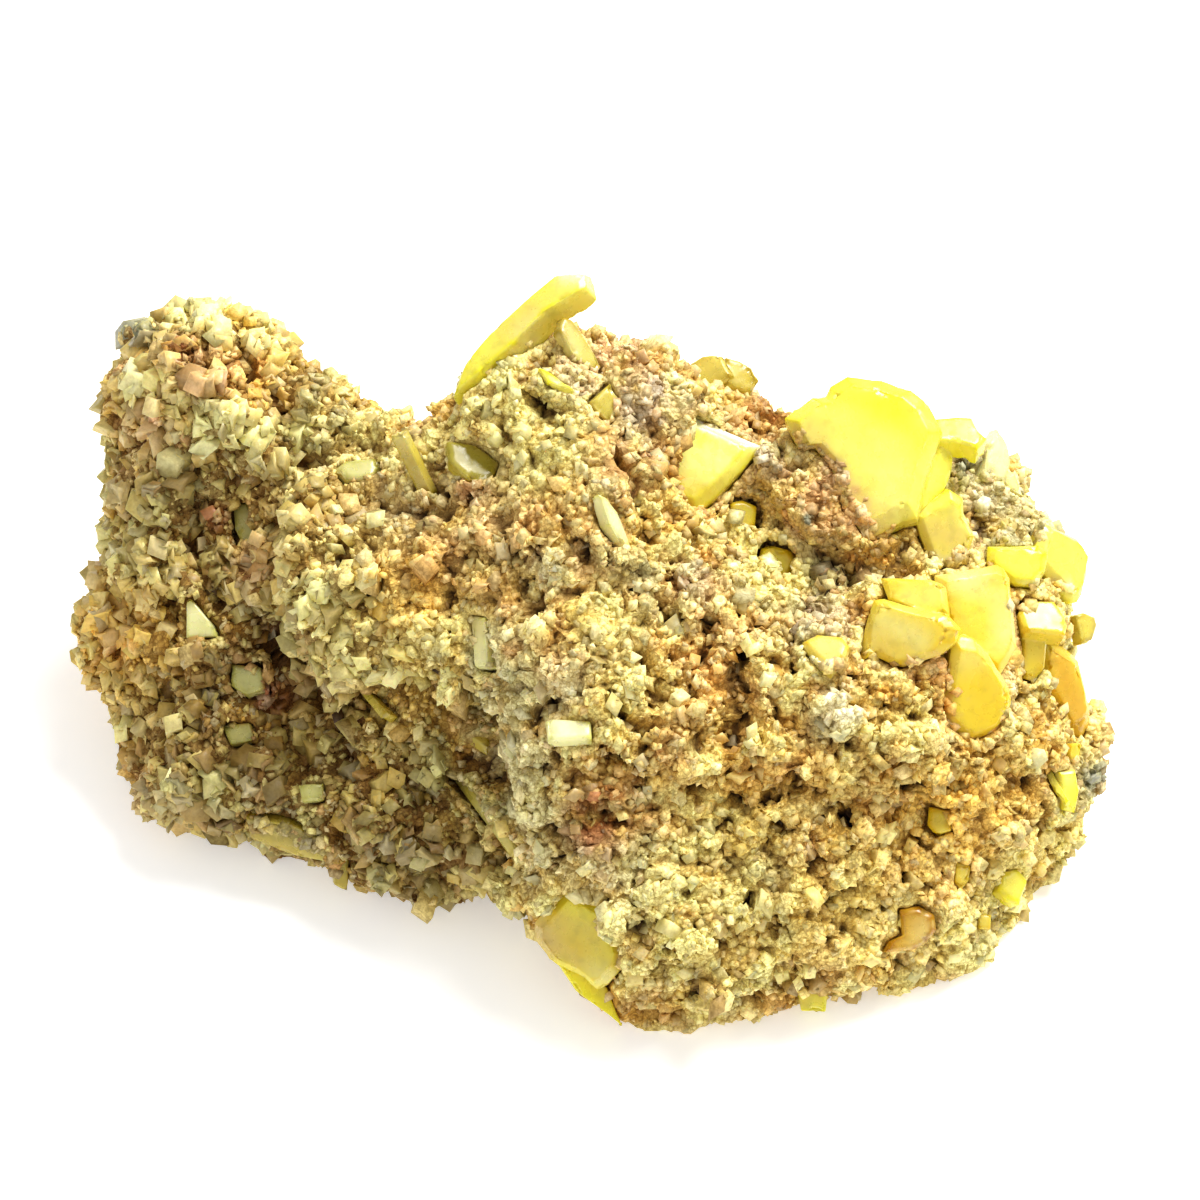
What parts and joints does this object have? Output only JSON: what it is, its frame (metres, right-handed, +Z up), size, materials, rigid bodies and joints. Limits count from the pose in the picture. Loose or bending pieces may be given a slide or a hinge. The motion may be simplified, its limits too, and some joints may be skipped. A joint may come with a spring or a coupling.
{
  "type": "wulfenite crystal specimen",
  "caption": "Wulfenite hand specimen: flat yellow crystals standing on a crusted, cavernous lump of tan rock with a flat cut underside.",
  "frame": {"origin": "on the flat underside that the specimen rests on, below the middle of the rock", "axes": "+Z up from the flat underside, +X along the specimen's length towards the end with the largest crystals, +Y towards the back"},
  "size_m": [0.1067, 0.0723, 0.0508],
  "materials": {
    "crusted_rock": "rough mineral crust",
    "wulfenite": "smooth resinous crystal, cloudy yellow"
  },
  "bodies": {
    "root": {"back_pair": "wulfenite", "bottom_chip": "wulfenite", "bottom_tablet": "wulfenite", "cave_tablet": "wulfenite", "cavity_octagon": "wulfenite", "cavity_plate": "wulfenite", "centre_block": "wulfenite", "crest_plate": "wulfenite", "edge_plate": "wulfenite", "great_tablet": "wulfenite", "green_cube_lower": "wulfenite", "green_cube_middle": "wulfenite", "green_cube_upper": "wulfenite", "green_wedge": "wulfenite", "lobe_blade": "wulfenite", "lobe_foot_plates": "wulfenite", "low_chip": "wulfenite", "low_orange": "wulfenite", "low_oval": "wulfenite", "low_rim": "wulfenite", "olive_leaves": "wulfenite", "olive_plate": "wulfenite", "plateau_needle": "wulfenite", "plateau_plate": "wulfenite", "ridge_blade": "wulfenite", "ridge_plate": "wulfenite", "right_cluster": "wulfenite", "right_rim_tablet": "wulfenite", "rim_blades": "wulfenite", "rim_chip": "wulfenite", "rim_cluster": "wulfenite", "rim_spur": "wulfenite", "rock": "crusted_rock", "shelf_blade": "wulfenite", "shelf_plate": "wulfenite", "small_plate": "wulfenite", "striated_plate": "wulfenite", "top_blade": "wulfenite", "upper_rim_pair": "wulfenite", "white_triangle": "wulfenite"}
  },
  "joints": []
}
